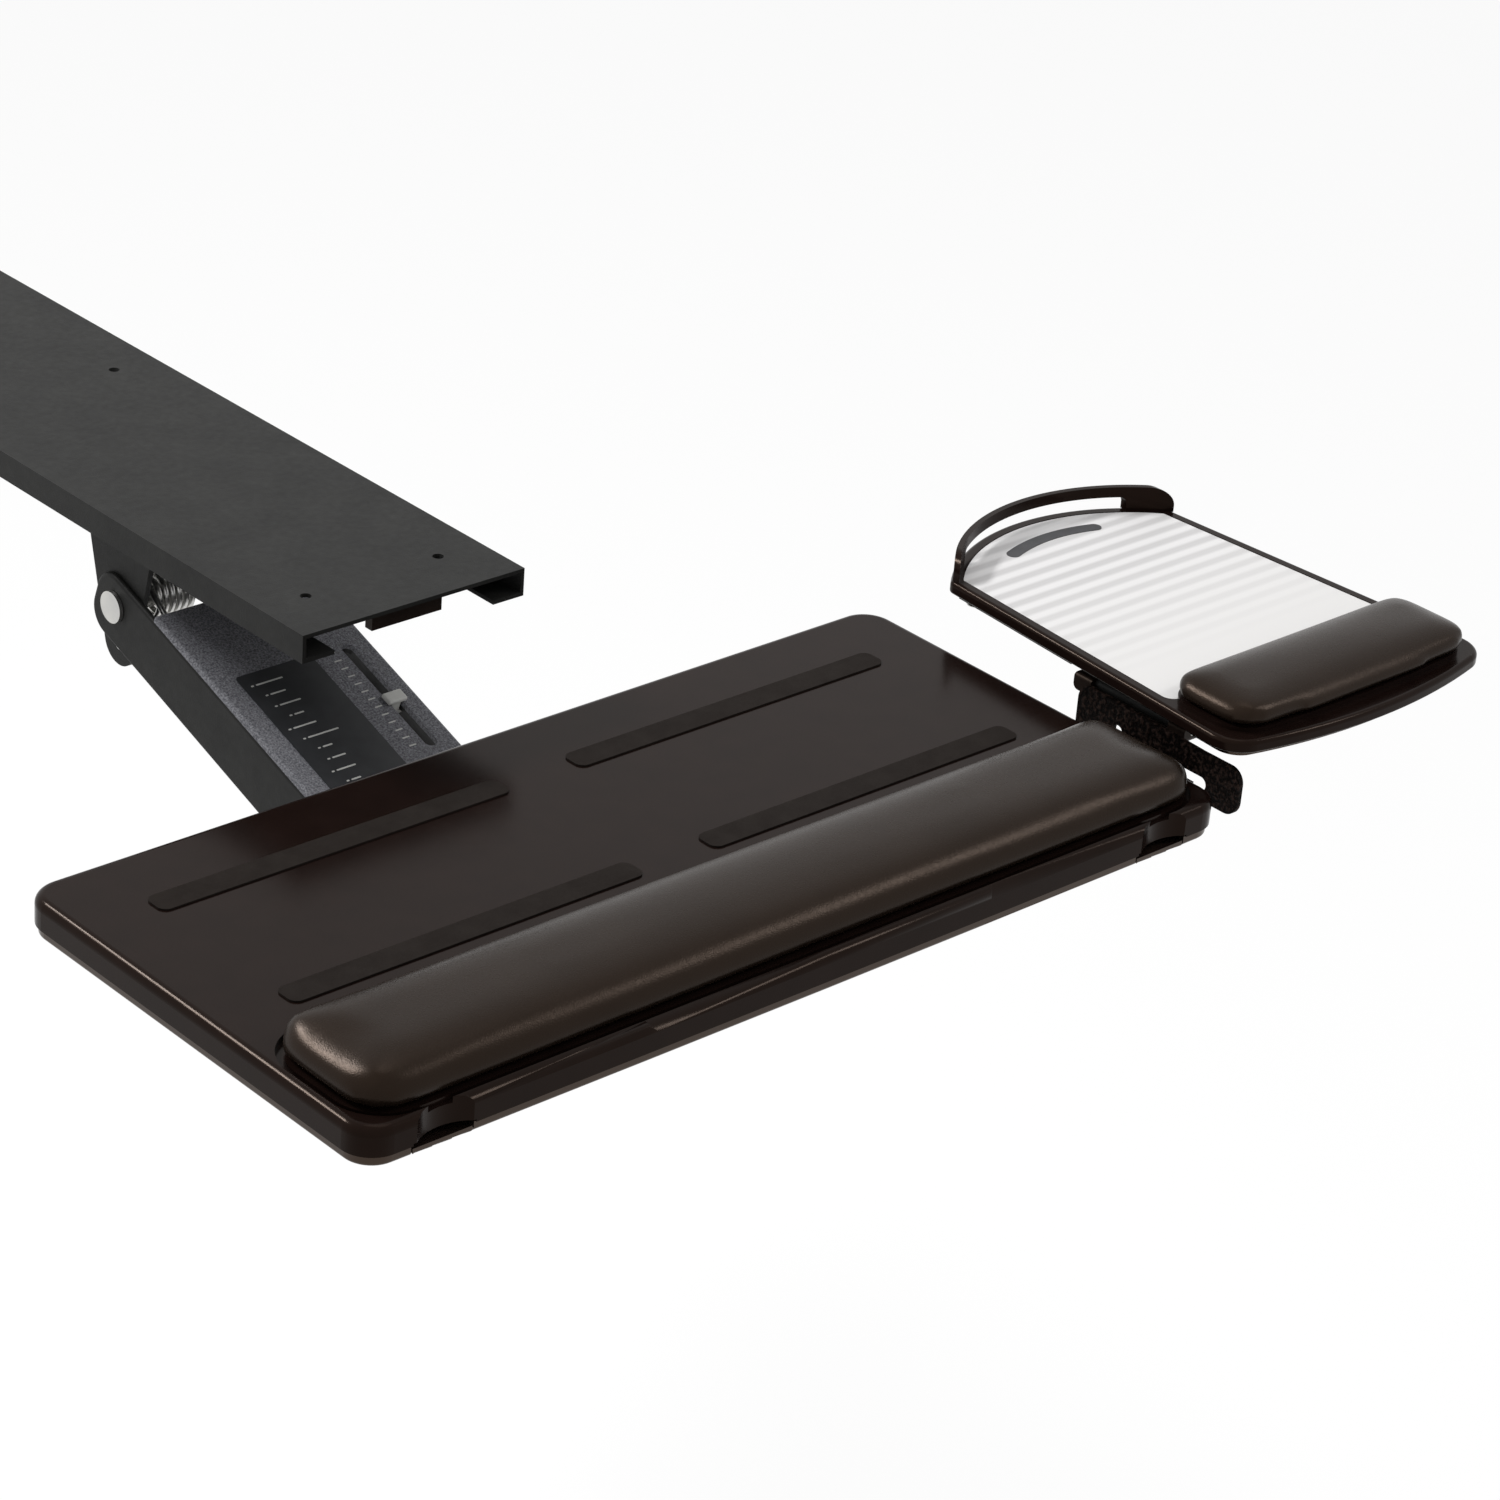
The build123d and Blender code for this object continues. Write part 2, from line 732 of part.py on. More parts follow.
def tray_shell():
    """The moulded top of the keyboard tray, open below."""
    shell = slab(tray_outline(), (shell_bottom, deck_z))
    shell = fillet(shell.faces().sort_by(Axis.Z)[-1].edges(), bullnose)
    cavity = slab(tray_outline(shell_wall), (pan_bottom, cavity_top))
    for side in (-1, 1):
        cavity -= scoop(lever_x(side), scoop_wall)
    shell -= cavity
    for side in (-1, 1):
        x = lever_x(side)
        shell -= scoop(x)
        swing_x = around(x, lever_width / 2 + lever_slit)
        swing_y = (tray_front - overrun, tray_front + lever_pin_back)
        shell -= block(swing_x, swing_y, (pan_bottom, shell_bottom + lever_swing))
        shell += rod_guide(side)
    recess_x = around(tray_centre_x, rest_length / 2 + rest_recess_margin)
    recess_y = (tray_front + rest_front_inset - rest_recess_margin, tray_front + rest_recess_depth)
    recess_z = (deck_z - rest_recess, deck_z + overrun)
    shell -= slab(rounded(recess_x, recess_y, rest_corner), recess_z)
    panel_x = around(tray_left + fascia_panel_inset, fascia_panel_width / 2)
    panel_z = around((shell_bottom + deck_z - bullnose) / 2, fascia_panel_height / 2)
    shell -= block(panel_x, (tray_front - overrun, tray_front + fascia_panel_depth), panel_z)
    for x, y in boss_places():
        boss = bar_z(x, y, (pan_floor_z, cavity_top), boss_radius)
        shell += boss - bar_z(x, y, (pan_bottom, cavity_top), screw_radius)
    rib_x = (tongue_inner, lever_x(1) - tongue_rib)
    shell += tongue_ribs(rib_x, (tongue_z[1] + slip_gap, cavity_top))
    slot_y_range = (tongue_y[0] - slip_gap, tongue_y[1] + slip_gap)
    slot_z_range = (shell_bottom - overrun, tongue_z[1] + slip_gap)
    shell -= block((tray_right - 2 * shell_wall, tray_right + overrun), slot_y_range, slot_z_range)
    save("tray_shell", shell)


def shoe_slot(side, z_range):
    """The slot that a brake shoe slides in, through the pan or the tray bracket."""
    x_range = sorted((side * (shoe_x[0] - slip_gap), side * (shoe_x[1] + slip_gap)))
    y_range = (shoe_y[0] - slip_gap, shoe_y[1] + shoe_travel + slip_gap)
    return block(x_range, y_range, z_range)


def tray_pan():
    """The shallow pan that closes the tray from below."""
    pan = slab(tray_outline(pan_inset), (pan_bottom, pan_top))
    pan = fillet(pan.faces().sort_by(Axis.Z)[0].edges(), pan_edge)
    pan -= slab(tray_outline(pan_inset + shell_wall), (pan_floor_z, pan_top + overrun))
    through = (pan_bottom - overrun, pan_top + overrun)
    for side in (-1, 1):
        x = lever_x(side)
        swing_x = around(x, lever_width / 2 + lever_slit)
        pan -= block(swing_x, (tray_front - overrun, tray_front + lever_reach + lever_slit), through)
        pan -= shoe_slot(side, through)
        for way in (-1, 1):
            near = x + way * (lever_width / 2 + lever_slit)
            lug_x = sorted((near, near + way * lever_lug_width))
            top = (lever_pin_y, lever_pin_z, lever_lug_radius)
            foot_z = pan_bottom + lever_lug_radius
            foot = [(lever_pin_y + k * lever_lug_radius, foot_z, lever_lug_radius) for k in (-1, 1)]
            lug = side_hull(lug_x, [top, *foot])
            pan += lug - bar_x(around(x, lever_width), lever_pin_y, lever_pin_z, lever_pin_radius)
    pan += tongue_ribs((tongue_inner, tray_right - 2 * shell_wall), (pan_floor_z, tongue_z[0] - slip_gap))
    knob_x, knob_y = knob_place()
    pan -= bar_z(knob_x, knob_y, through, knob_stem_radius + running_gap)
    for x, y in boss_places():
        pan -= bar_z(x, y, through, screw_radius)
    for x, y in bracket_screw_places():
        pan -= bar_z(x, y, through, screw_radius)
    save("tray_pan", pan)
    screws = [screw(x, y, pan_bottom, pan_screw_length) for x, y in boss_places()]
    save("pan_screws", *screws)


def knob_place():
    """The middle of the slide's lock knob."""
    return tray_right - knob_inset, sum(tongue_y) / 2


def bracket_screw_places():
    """The screws at the tray bracket's corners."""
    reach = bracket_width / 2 - bracket_screw_margin
    rows = (tilt_y - bracket_front + bracket_screw_margin, tilt_y + bracket_rear - bracket_screw_margin)
    return [(side * reach, y) for side in (-1, 1) for y in rows]


def tray_bracket():
    """The steel plate under the tray, with two ears on the tilt pin."""
    z_range = (pan_bottom - bracket_thickness, pan_bottom)
    y_range = (tilt_y - bracket_front, tilt_y + bracket_rear)
    half = bracket_width / 2
    plate = slab(rounded((-half, half), y_range, bracket_corner), z_range)
    root_z = z_range[0] + bracket_thickness / 2
    root = bracket_thickness / 2
    circles = [(tilt_y + k * bracket_ear_root, root_z, root) for k in (-1, 1)]
    ear = side_hull((wall_inner, arm_width / 2), [*circles, (tilt_y, tilt_z, bracket_ear_radius)])
    plate += ear + mirror(ear, Plane.YZ)
    span = (-arm_width, arm_width)
    plate -= bar_x(span, tilt_y, tilt_z, tilt_pin_radius + running_gap)
    for side in (-1, 1):
        plate -= shoe_slot(side, (z_range[0] - overrun, z_range[1] + overrun))
    for x, y in bracket_screw_places():
        plate -= bar_z(x, y, (z_range[0] - overrun, z_range[1] + overrun), screw_radius)
    save("tray_bracket", plate)
    length = bracket_thickness + pan_floor
    screws = [screw(x, y, z_range[0], length) for x, y in bracket_screw_places()]
    save("bracket_screws", *screws)


def finger_lever(side, name):
    """The squeeze lever under one finger scoop."""
    x = lever_x(side)
    z_range = (pan_bottom, pan_bottom + lever_thickness)
    reach_y = (tray_front - overrun, tray_front + lever_reach)
    lever = slab(tray_outline(pan_inset), z_range)
    lever &= block(around(x, lever_width / 2), reach_y, z_range)
    lever = fillet(lever.faces().sort_by(Axis.Z)[0].edges(), lever_edge)
    lever += bar_x(around(x, lever_width / 2), lever_pin_y, lever_pin_z, lever_knuckle_radius)
    crank_y = around(lever_pin_y, lever_crank_thickness / 2)
    crank_z = (lever_pin_z, lever_pin_z + lever_crank_rise)
    lever += block(around(x, lever_crank_width / 2), crank_y, crank_z)
    lever -= bar_x(around(x, lever_width), lever_pin_y, lever_pin_z, lever_pin_radius + running_gap)
    save(name, lever)


def lever_pins():
    """The short pins that the two finger levers turn on."""
    half = lever_width / 2 + lever_slit + lever_lug_width
    pins = [bar_x(around(lever_x(k), half), lever_pin_y, lever_pin_z, lever_pin_radius) for k in (-1, 1)]
    save("lever_pins", *pins)


def release_rod(side, name):
    """The wire from a finger lever to its brake shoe, inside the tray."""
    x = lever_x(side)
    turn_y = rod_front_y + rod_straight
    inner_x = side * (shoe_x[1] + 2 * rod_bend)
    points = [(x, rod_front_y, rod_z), (x, turn_y, rod_z), (inner_x, tilt_y, rod_z),
              (side * shoe_x[1], tilt_y, rod_z)]
    path = FilletPolyline(*points, radius=rod_bend)
    start = Plane(origin=path @ 0, z_dir=path % 0)
    save(name, sweep(start * Circle(rod_radius), path=path))


def brake_shoe(side, name):
    """The shoe over the head's round ear, held in slots in the pan and the bracket."""
    x_range = sorted((side * shoe_x[0], side * shoe_x[1]))
    low = tilt_z + ear_radius + slip_gap
    shoe = block(x_range, shoe_y, (low, cavity_top - slip_gap))
    flange_x = sorted((side * (shoe_x[0] - shoe_flange), side * shoe_x[1]))
    flange_z = (pan_floor_z + slip_gap, pan_floor_z + slip_gap + shoe_flange_height)
    shoe += block(flange_x, shoe_y, flange_z)
    save(name, shoe)


def grip_strips():
    """Rubber strips in the deck that stop a keyboard from sliding."""
    strips = []
    left = (tray_left + grip_side_inset, tray_centre_x - grip_middle_gap)
    right = (tray_centre_x + grip_middle_gap, tray_right - grip_side_inset)
    for x_range in (left, right):
        for row_y in (grip_front_y, grip_rear_y):
            y_range = around(tray_front + row_y, grip_width / 2)
            outline = rounded(x_range, y_range, grip_corner)
            strips.append(slab(outline, (deck_z, deck_z + grip_height)))
    save("grip_strips", *strips)


def quarter(start, end, along_start):
    """A quarter of an ellipse between two points, leaving the first one along Z or along X."""
    if along_start:
        controls = [(start[0], start[1] + (end[1] - start[1]) * ellipse_share)]
        controls.append((end[0] + (start[0] - end[0]) * ellipse_share, end[1]))
    else:
        controls = [(start[0] + (end[0] - start[0]) * ellipse_share, start[1])]
        controls.append((end[0], end[1] + (start[1] - end[1]) * ellipse_share))
    return Bezier(start, *controls, end)


def crowned(width, height, shoulder, shoulder_height, crown):
    """A cushion's cross-section: drawn in at the foot, broad round shoulders, crowned top."""
    top = height - crown
    side_top = top - shoulder_height
    a, b, c = (rest_hem, 0), (0, rest_hem_height), (0, side_top)
    d, e = (shoulder, top), (width - shoulder, top)
    f, g, h = (width, side_top), (width, rest_hem_height), (width - rest_hem, 0)
    edges = [
        Line(h, a), Line(a, b), Line(b, c), quarter(c, d, True),
        ThreePointArc(d, (width / 2, height), e),
        quarter(e, f, False), Line(f, g), Line(g, h),
    ]
    return make_face(edges)


def cushion(plan, width, depth, height, *form):
    """A padded rest, its front middle at the origin: a plan cut by crowned sections both ways."""
    solid = slab(plan, (0, height))
    along_x = crowned(depth, height, *form)
    along_y = crowned(width, height, *form)
    solid &= extrude(Plane.YZ.offset(-width / 2) * along_x, amount=width)
    section = Plane(origin=(-width / 2, depth, 0), x_dir=(1, 0, 0), z_dir=(0, -1, 0)) * along_y
    return solid & extrude(section, amount=depth)


def keyboard_rest():
    """The padded palm rest along the tray's front edge, on its base plate."""
    front = tray_front + rest_front_inset
    base_low = deck_z - rest_recess
    base_top = base_low + rest_base_height
    base_x = around(tray_centre_x, rest_length / 2 - rest_base_inset)
    base_y = (front + rest_base_inset, front + rest_depth - rest_base_inset)
    corner = rest_corner - rest_base_inset
    save("palm_rest_base", slab(rounded(base_x, base_y, corner), (base_low, base_top)))
    plan = rounded(around(0, rest_length / 2), (0, rest_depth), rest_corner)
    form = (rest_height, rest_shoulder, rest_shoulder_height, rest_crown)
    padding = cushion(plan, rest_length, rest_depth, *form)
    save("palm_rest_cushion", Pos(tray_centre_x, front, base_top) * padding)


plate_left = tray_right + bracket_gap
plate_right = plate_left + side_plate_thickness
hinge_x = plate_right + hinge_block_width / 2
hinge_z = deck_z + hinge_rise
block_y = (tray_front + hinge_block_front, tray_front + hinge_block_front + hinge_block_length)
post_y = sum(block_y) / 2
post_x = hinge_x + swivel_reach
platform_x = post_x + platform_centre_reach
platform_y = tray_front - platform_front_overhang
platform_top_z = deck_z + platform_rise
shell_low_z = platform_top_z - platform_edge
base_top_z = shell_low_z - platform_seam
base_low_z = base_top_z - base_height
tilt_plate_top = base_low_z - slip_gap


def mouse_bracket():
    """The textured steel bracket: a tongue in the tray and an upright plate beside it."""
    front = tray_front + side_plate_front_inset
    rear = front + side_plate_length
    low = deck_z - side_plate_bottom
    high = deck_z + side_plate_top
    bend = (front + side_plate_rise_place, high)
    points = [(front, low), (rear, low), (rear, high + side_plate_rise), bend, (front, high)]
    outline = make_face(Polyline(*points, close=True))
    ends = outline.vertices().group_by(Axis.X)
    outline = fillet([*ends[0], *ends[-1]], side_plate_corner)
    plate = extrude(Plane.YZ.offset(plate_left) * outline, amount=side_plate_thickness)
    through = (plate_left - overrun, plate_right + overrun)
    hole_y = front + side_plate_hole_back
    plate -= bar_x(through, hole_y, deck_z - side_plate_hole_drop, side_plate_hole_radius)
    slot_z = deck_z - side_plate_slot_drop
    radius = side_plate_slot_radius
    slot_ends = (side_plate_slot_front + radius, side_plate_slot_front + side_plate_slot_length - radius)
    plate -= side_hull(through, [(front + place, slot_z, radius) for place in slot_ends])
    tongue = slab(rounded((tongue_inner, plate_right - tongue_corner), tongue_y, tongue_corner), tongue_z)
    tongue += block((plate_left - tongue_corner - bracket_gap, plate_right), tongue_y, tongue_z)
    save("mouse_bracket", plate + tongue)


def lock_knob():
    """The thumbscrew under the tray that clamps the sliding tongue."""
    x, y = knob_place()
    top = pan_bottom - slip_gap
    knob = bar_z(x, y, (top - knob_height, top), knob_radius)
    for k in range(knob_grips):
        angle = 2 * pi * k / knob_grips
        grip_x = x + knob_radius * cos(angle)
        grip_y = y + knob_radius * sin(angle)
        knob -= bar_z(grip_x, grip_y, (top - knob_height - overrun, top + overrun), knob_grip_radius)
    knob += bar_z(x, y, (top - knob_height, tongue_z[0] - slip_gap), knob_stem_radius)
    save("slide_lock_knob", knob)


def platform_hinge():
    """The block, pin and plate that tilt and turn the mouse platform."""
    x_range = (plate_right, plate_right + hinge_block_width)
    lug_top = hinge_z + knuckle_radius - slip_gap
    body = block(x_range, block_y, (deck_z + hinge_block_rise, lug_top))
    body = fillet(body.faces().sort_by(Axis.Z)[0].edges().filter_by(Axis.X), hinge_block_corner)
    body = fillet(body.faces().sort_by(Axis.Z)[-1].edges().filter_by(Axis.Y), hinge_lug_round)
    floor = deck_z + hinge_block_rise + hinge_floor
    turn_y = (block_y[0] + hinge_lug, block_y[1] - hinge_lug)
    body -= block((x_range[0] - overrun, x_range[1] + overrun), turn_y, (floor, lug_top + overrun))
    body -= bar_y(hinge_x, block_y, hinge_z, hinge_pin_radius)
    save("hinge_block", body)
    save("hinge_pin", bar_y(hinge_x, block_y, hinge_z, hinge_pin_radius))
    arm_y = (turn_y[0] + slip_gap, turn_y[1] - slip_gap)
    plate_z = (tilt_plate_top - tilt_plate_thickness, tilt_plate_top)
    end_radius = (arm_y[1] - arm_y[0]) / 2
    plate = block((hinge_x, post_x), arm_y, plate_z) + bar_z(post_x, post_y, plate_z, end_radius)
    plate += bar_y(hinge_x, arm_y, hinge_z, knuckle_radius)
    plate -= bar_y(hinge_x, block_y, hinge_z, hinge_pin_radius + running_gap)
    plate -= bar_z(post_x, post_y, (plate_z[0] - overrun, plate_z[1] + overrun), swivel_post_radius)
    save("tilt_plate", plate)
    washer_z = (base_top_z + slip_gap, base_top_z + slip_gap + swivel_washer_height)
    post = bar_z(post_x, post_y, (plate_z[0] - swivel_washer_height, washer_z[1]), swivel_post_radius)
    post += bar_z(post_x, post_y, washer_z, swivel_washer_radius)
    foot_z = (plate_z[0] - swivel_washer_height, plate_z[0])
    post += bar_z(post_x, post_y, foot_z, swivel_foot_radius)
    save("platform_post", post)


def platform_outline(inset=0.0):
    """The mouse platform's plan shape, drawn in by an inset."""
    outline = bowed_outline(
        platform_front_half, platform_rear_half, platform_front_corner,
        platform_depth - platform_rear_bow, platform_rear_bow,
        platform_front_radius, platform_rear_radius,
    )
    outline = Pos(platform_x, platform_y) * outline
    return offset(outline, amount=-inset) if inset else outline


def mat_outline(inset):
    """The mousing surface's plan shape, behind the platform's padded rest."""
    front = platform_y + mat_front + inset - mat_inset
    zone = Pos(platform_x, front + platform_depth / 2) * Rectangle(2 * platform_front_half, platform_depth)
    outline = platform_outline(inset) & zone
    corners = outline.vertices().sort_by(Axis.Y)[:2]
    return fillet(corners, mat_corner)


def rear_arch():
    """The radius and the middle of the platform's rear arch."""
    radius = (platform_rear_half**2 + platform_rear_bow**2) / (2 * platform_rear_bow)
    return radius, (platform_x, platform_y + platform_depth - radius)


def platform_boss_places():
    """The middles of the bosses between the platform's top and base."""
    half = platform_rear_half - platform_boss_margin
    front_row = platform_y + platform_front_corner + platform_boss_margin
    rear_row = platform_y + platform_depth - platform_rear_bow - platform_boss_margin
    return [(platform_x + side * half, y) for side in (-1, 1) for y in (front_row, rear_row)]


def mouse_platform():
    """The platform's top and base, and the mousing surface."""
    top = slab(platform_outline(), (shell_low_z, platform_top_z))
    top = fillet(top.faces().sort_by(Axis.Z)[-1].edges(), platform_round)
    top = fillet(top.faces().sort_by(Axis.Z)[0].edges(), platform_round_low)
    top -= slab(platform_outline(platform_wall), (shell_low_z - overrun, platform_top_z - platform_skin))
    recess_z = (platform_top_z - mat_recess, platform_top_z + overrun)
    top -= slab(mat_outline(mat_inset), recess_z)
    for x, y in platform_boss_places():
        boss = bar_z(x, y, (base_top_z, platform_top_z - platform_skin), screw_head_radius)
        top += boss - bar_z(x, y, (base_top_z, platform_top_z - platform_skin), screw_radius)
    save("platform_top", top)
    mat_z = (recess_z[0], recess_z[0] + mat_thickness)
    save("mousing_surface", slab(mat_outline(mat_inset + slip_gap), mat_z))
    notch_x = (platform_x - platform_front_half - overrun, platform_x - platform_front_half + notch_reach)
    notch_y = (block_y[0] - notch_gap, block_y[1] + notch_gap)
    base = slab(platform_outline(base_inset), (base_low_z, base_top_z))
    base -= block(notch_x, notch_y, (base_low_z - overrun, base_top_z + overrun))
    hole_z = (base_low_z - overrun, base_top_z + overrun)
    base -= bar_z(post_x, post_y, hole_z, swivel_post_radius + running_gap)
    for x, y in platform_boss_places():
        base -= bar_z(x, y, hole_z, screw_radius)
    save("platform_base", base)
    screws = [screw(x, y, base_low_z, platform_screw_length) for x, y in platform_boss_places()]
    save("platform_screws", *screws)


def arch_band(inset, width):
    """The ring that follows the platform's rear arch, drawn in by an inset."""
    radius, centre = rear_arch()
    outer = radius - inset
    return Pos(*centre) * (Circle(outer) - Circle(outer - width))


def badge():
    """The long curved badge plate near the surface's rear edge, left bare."""
    low = platform_top_z - mat_recess + mat_thickness
    radius, centre = rear_arch()
    inset = mat_inset + badge_inset
    path = CenterArc(centre, radius - inset - badge_width / 2, 90 - badge_half_angle, 2 * badge_half_angle)
    reach = radius / cos(radians(badge_half_angle))
    sides = [Pos(*centre) * Rot(0, 0, way * badge_half_angle) * Pos(0, reach) for way in (-1, 1)]
    wedge = make_face(Polyline(centre, *[tuple(side.position)[:2] for side in sides], close=True))
    band = arch_band(inset, badge_width) & wedge
    outline = band + [Pos(path @ end) * Circle(badge_width / 2) for end in (0, 1)]
    save("surface_badge", slab(outline, (low, low + badge_thickness)))


def fence():
    """The hoop along the platform's rear arch that keeps the mouse on."""
    half = platform_rear_half - fence_inset
    hoop = slab(arch_band(fence_inset, fence_thickness), (platform_top_z, platform_top_z + fence_height))
    far = platform_y + platform_depth + overrun
    front_view = Plane(origin=(platform_x, far, platform_top_z), x_dir=(1, 0, 0), z_dir=(0, -1, 0))
    reach = platform_rear_bow + fence_thickness + 2 * overrun
    form = RectangleRounded(2 * half, 2 * fence_height, fence_corner)
    form -= RectangleRounded(2 * (half - fence_leg), 2 * (fence_height - fence_band), fence_window_corner)
    save("mouse_fence", hoop & extrude(front_view * form, amount=reach))


def mouse_rest():
    """The padded palm rest on the mouse platform's front edge."""
    place = Pos(platform_x, platform_y + pad_front_inset, platform_top_z)
    plan = bowed_outline(pad_half, pad_half, pad_bow, pad_depth, 0, pad_corner, pad_corner)
    base = slab(offset(plan, amount=-pad_base_inset), (0, pad_base_height))
    save("mouse_rest_base", place * base)
    form = (pad_height, pad_shoulder, pad_shoulder_height, pad_crown)
    padding = cushion(Pos(0, -pad_bow_cut) * plan, 2 * pad_half, pad_depth, *form)
    save("mouse_rest_cushion", place * Pos(0, 0, pad_base_height) * padding)


track()
carriage()
base_yoke()
print("least gap between the spring's turns, mm", round(spring_pitch - spring_wire, 3))
springs = torsion_spring()
save("lift_springs", springs, mirror(springs, Plane.YZ))
arm()
lower_link()
head()
tray_shell()
tray_pan()
tray_bracket()
for side, name in ((-1, "left"), (1, "right")):
    finger_lever(side, f"finger_lever_{name}")
    release_rod(side, f"release_rod_{name}")
    brake_shoe(side, f"brake_shoe_{name}")
lever_pins()
grip_strips()
keyboard_rest()
mouse_bracket()
lock_knob()
platform_hinge()
mouse_platform()
badge()
fence()
mouse_rest()
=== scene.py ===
import bpy
import bmesh
from math import cos, pi, radians, sin
from mathutils import Matrix, Vector


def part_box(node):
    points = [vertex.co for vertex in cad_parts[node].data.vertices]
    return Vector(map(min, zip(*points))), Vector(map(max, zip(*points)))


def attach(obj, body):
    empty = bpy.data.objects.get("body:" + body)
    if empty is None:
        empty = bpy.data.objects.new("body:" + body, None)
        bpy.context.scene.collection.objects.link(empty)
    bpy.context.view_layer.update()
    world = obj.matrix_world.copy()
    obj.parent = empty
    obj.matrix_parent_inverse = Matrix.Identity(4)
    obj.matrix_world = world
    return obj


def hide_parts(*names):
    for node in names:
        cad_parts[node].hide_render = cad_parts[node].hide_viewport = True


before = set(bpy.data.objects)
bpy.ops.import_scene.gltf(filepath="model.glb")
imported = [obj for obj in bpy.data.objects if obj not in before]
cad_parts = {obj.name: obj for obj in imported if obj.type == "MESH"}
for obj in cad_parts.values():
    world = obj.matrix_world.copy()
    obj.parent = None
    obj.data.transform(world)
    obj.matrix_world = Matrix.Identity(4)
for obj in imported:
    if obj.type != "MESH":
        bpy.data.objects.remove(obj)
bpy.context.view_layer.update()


# Node helpers

def new_material(name):
    """A material with its node tree, its shader and a node maker."""
    material = bpy.data.materials.new(name)
    material.use_nodes = True
    tree = material.node_tree
    shader = tree.nodes["Principled BSDF"]

    def node(kind, **values):
        made = tree.nodes.new(kind)
        for key, value in values.items():
            setattr(made, key, value)
        return made

    return material, tree, shader, node


def ramp(node, tree, source, low, high, low_colour, high_colour):
    """A colour ramp between two places."""
    made = node("ShaderNodeValToRGB")
    made.color_ramp.elements[0].position = low
    made.color_ramp.elements[1].position = high
    made.color_ramp.elements[0].color = (*low_colour, 1)
    made.color_ramp.elements[1].color = (*high_colour, 1)
    tree.links.new(source, made.inputs["Fac"])
    return made.outputs["Color"]


def noise(node, tree, coordinates, scale, detail=3.0, rough=0.5):
    """A noise texture in object space, scale in cells per metre."""
    made = node("ShaderNodeTexNoise")
    made.inputs["Scale"].default_value = scale
    made.inputs["Detail"].default_value = detail
    made.inputs["Roughness"].default_value = rough
    tree.links.new(coordinates, made.inputs["Vector"])
    return made.outputs["Fac"]


def cell_edges(node, tree, coordinates, scale):
    """The distance to the nearest edge between cells, scale in cells per metre."""
    made = node("ShaderNodeTexVoronoi", feature="DISTANCE_TO_EDGE")
    made.inputs["Scale"].default_value = scale
    tree.links.new(coordinates, made.inputs["Vector"])
    return made.outputs["Distance"]


def bump(node, tree, shader, layers):
    """Stacks height layers of (socket, strength, distance) on the shader's normal."""
    last = None
    for height, strength, distance in layers:
        made = node("ShaderNodeBump")
        made.inputs["Strength"].default_value = strength
        made.inputs["Distance"].default_value = distance
        tree.links.new(height, made.inputs["Height"])
        if last:
            tree.links.new(last, made.inputs["Normal"])
        last = made.outputs["Normal"]
    tree.links.new(last, shader.inputs["Normal"])


# Finishes: colours are linear, lengths in metres, texture scales in cells per metre

warm = (1.0, 0.72, 0.55)
neutral = (1.0, 1.0, 1.0)
patch_low, patch_high = 0.3, 0.7
patch_detail = 4.0
shine_detail = 3.0
shine_per_patch = 6
grain_detail = 2.0


def surface(name, dark, light, rough, spread, patches, grain, metallic=0.0, specular=0.3, tint=warm):
    """A finish with uneven colour and roughness, and bump layers of (kind, scale, strength, distance)."""
    material, tree, shader, node = new_material(name)
    place = node("ShaderNodeTexCoord").outputs["Object"]
    patch = noise(node, tree, place, patches, patch_detail)
    colour = ramp(node, tree, patch, patch_low, patch_high, dark, light)
    tree.links.new(colour, shader.inputs["Base Color"])
    shine = node("ShaderNodeMapRange")
    shine.inputs["To Min"].default_value = rough - spread
    shine.inputs["To Max"].default_value = rough + spread
    fine = noise(node, tree, place, patches * shine_per_patch, shine_detail)
    tree.links.new(fine, shine.inputs["Value"])
    tree.links.new(shine.outputs["Result"], shader.inputs["Roughness"])
    layers = []
    for kind, scale, strength, distance in grain:
        if kind == "noise":
            height = noise(node, tree, place, scale, grain_detail)
        else:
            height = cell_edges(node, tree, place, scale)
        layers.append((height, strength, distance))
    bump(node, tree, shader, layers)
    shader.inputs["Metallic"].default_value = metallic
    shader.inputs["Specular IOR Level"].default_value = specular
    shader.inputs["Specular Tint"].default_value = (*tint, 1)
    return material


grain_height_detail = 2.5
grain_height_roughness = 0.6
fine_grain_ratio = 2.6


def grain_shaded(name, dark, light, low, high, rough, grains_per_metre, strength, distance, specular=0.2):
    """A textured finish whose raised grains are painted lighter than the ground between them: painted
    highlight on the grains and painted shade in the hollows.
    """
    material, tree, shader, node = new_material(name)
    place = node("ShaderNodeTexCoord").outputs["Object"]
    grain_height = noise(node, tree, place, grains_per_metre, grain_height_detail, grain_height_roughness)
    # The colour ramp follows the grain height: painted shade in the hollows, painted highlight on the
    # raised grains.
    tree.links.new(ramp(node, tree, grain_height, low, high, dark, light), shader.inputs["Base Color"])
    fine = noise(node, tree, place, grains_per_metre * fine_grain_ratio, grain_detail)
    bump(node, tree, shader, [(grain_height, strength, distance), (fine, strength / 2, distance / 2)])
    shader.inputs["Roughness"].default_value = rough
    shader.inputs["Specular IOR Level"].default_value = specular
    return material


mat_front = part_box("mousing_surface")[0][1]
stripes_start = mat_front + 0.03
stripes_full = mat_front + 0.12
stripe_pitch = 0.010
stripe_low, stripe_high = 0.15, 0.85
stripe_dark = (0.62, 0.61, 0.61)
stripe_light = (0.82, 0.81, 0.81)
plain_mat = (0.80, 0.79, 0.78)
mat_grain = 3000
mat_grain_strength = 0.15
mat_grain_distance = 0.0002
mat_rough = 0.5
mat_specular = 0.25


